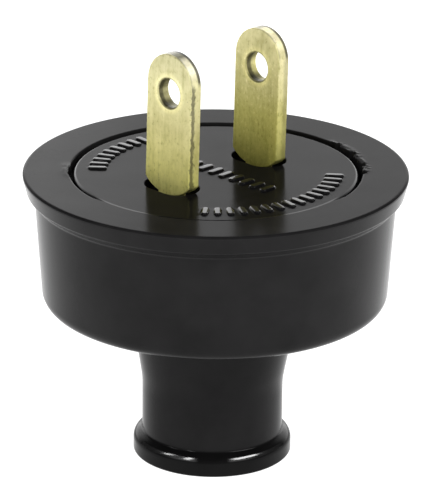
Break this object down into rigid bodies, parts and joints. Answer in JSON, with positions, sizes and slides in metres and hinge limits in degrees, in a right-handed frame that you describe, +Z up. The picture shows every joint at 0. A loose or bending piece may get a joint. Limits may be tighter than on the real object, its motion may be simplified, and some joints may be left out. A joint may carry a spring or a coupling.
{
  "type": "rewirable two-blade plug",
  "caption": "Round black rewirable mains plug with flat parallel brass blades, a hard insert in a soft lipped shell, and a beaded cord neck.",
  "frame": {"origin": "middle of the flat end of the cord neck, which the plug stands on", "axes": "+Z up along the plug's axis towards the blade tips, X along the blade spacing, Y along the blades' width"},
  "size_m": [0.04, 0.04, 0.0452],
  "materials": {
    "black_vinyl": "glossy black soft vinyl, lightly moulded grain",
    "black_insert": "glossy black hard moulding",
    "blade_brass": "pale rolled brass, lengthwise drawing marks, handling tarnish",
    "screw_brass": "turned brass"
  },
  "bodies": {
    "root": {"shell": "black_vinyl", "insert": "black_insert", "blade_left": "blade_brass", "blade_right": "blade_brass", "terminal_screws": "screw_brass"}
  },
  "joints": []
}
